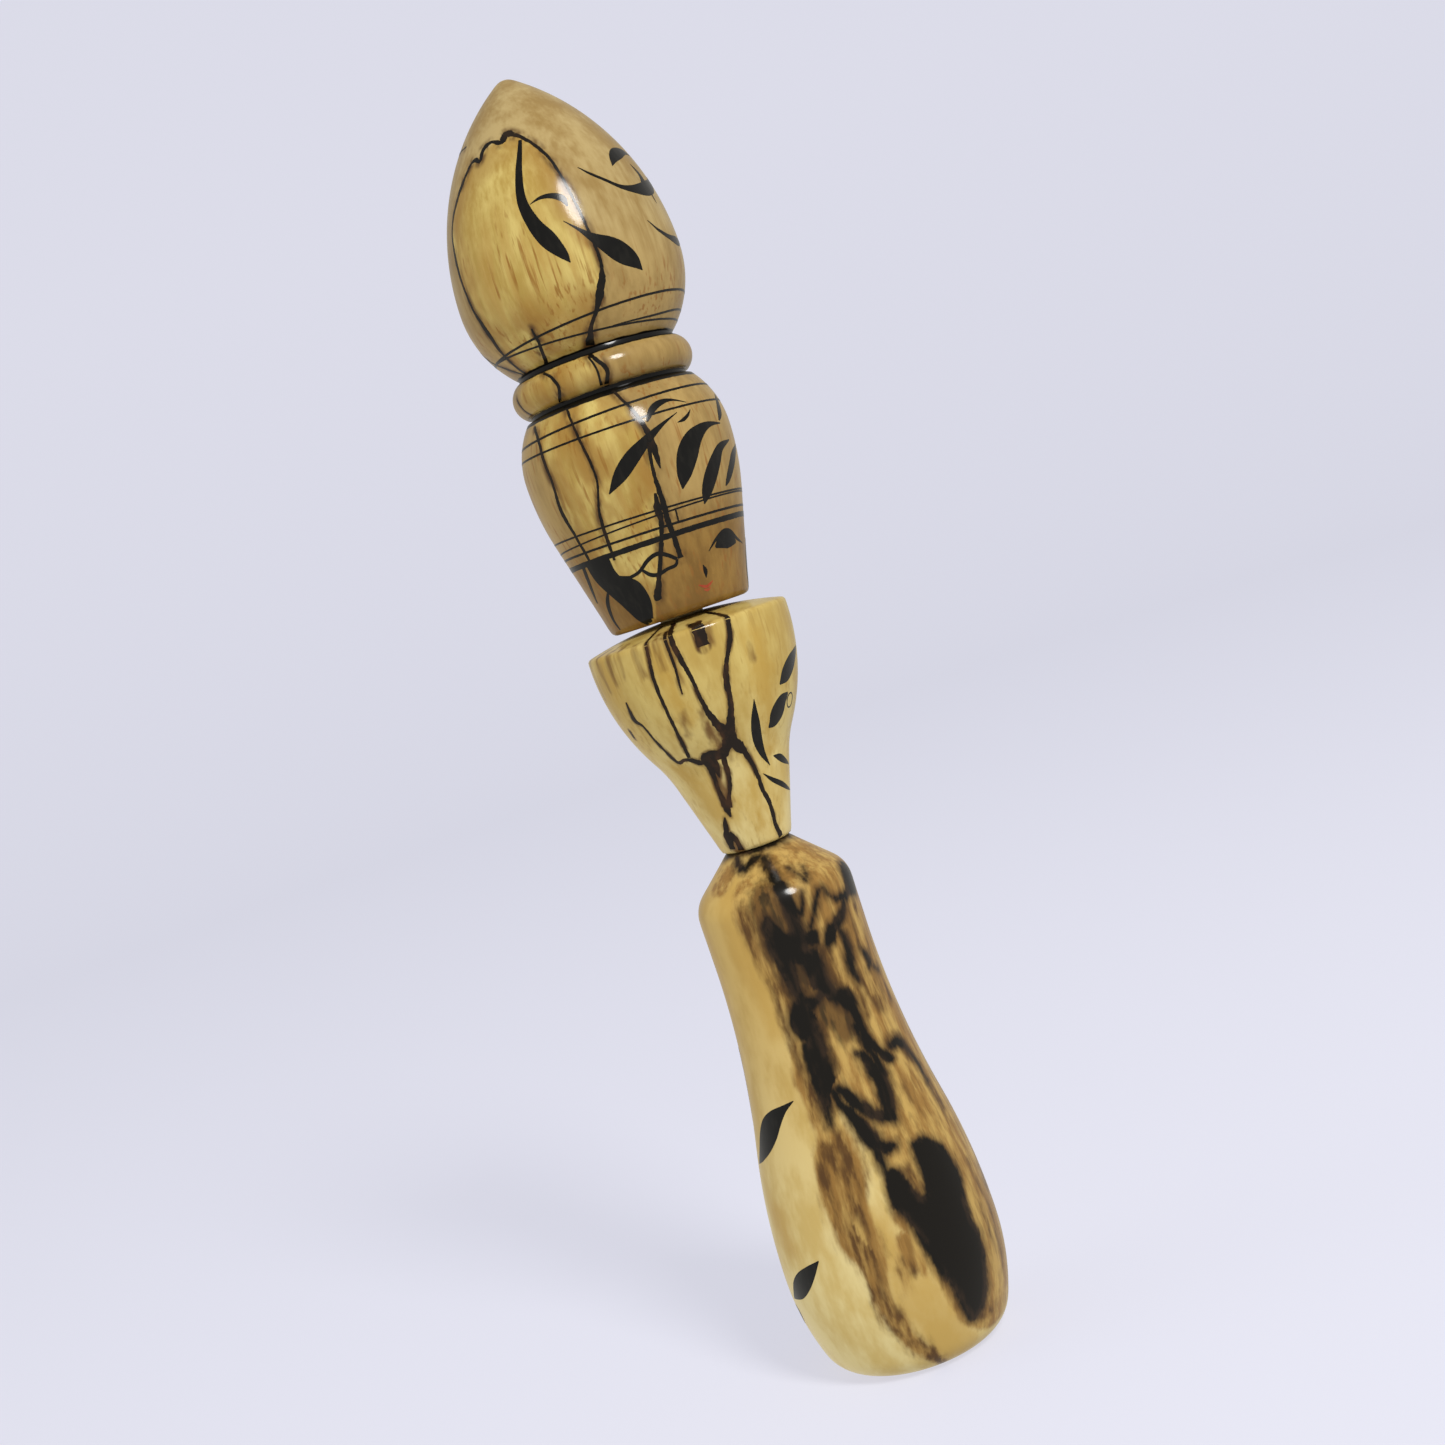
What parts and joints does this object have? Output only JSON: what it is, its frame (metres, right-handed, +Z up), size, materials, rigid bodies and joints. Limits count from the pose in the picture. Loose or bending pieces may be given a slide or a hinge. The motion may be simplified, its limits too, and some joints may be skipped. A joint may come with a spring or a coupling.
{
  "type": "kokeshi doll",
  "caption": "Slender turned wooden kokeshi doll with a pointed hood, a flared bust and a long waisted body; the head turns on a hidden peg.",
  "frame": {"origin": "centre of the flat foot, on the turning axis", "axes": "+Z up along the turning axis, the painted face looks along -Y"},
  "size_m": [0.041, 0.041, 0.24],
  "materials": {
    "head_wood": "clear gloss lacquer over spalted wood, painted in black and red",
    "bust_wood": "clear gloss lacquer over spalted wood, painted in black",
    "body_wood": "clear gloss lacquer over dark spalted wood, painted in black",
    "peg_wood": "plain sanded hardwood dowel"
  },
  "bodies": {
    "body": {"body": "body_wood", "waist_peg": "peg_wood", "bust": "bust_wood", "neck_peg": "peg_wood"},
    "head": {"head": "head_wood"}
  },
  "joints": [
    {"name": "head_turn", "type": "hinge", "parent": "body", "child": "head", "pos_m": [0, 0, 0.1409], "axis": [0, 0, 1], "continuous": true}
  ]
}
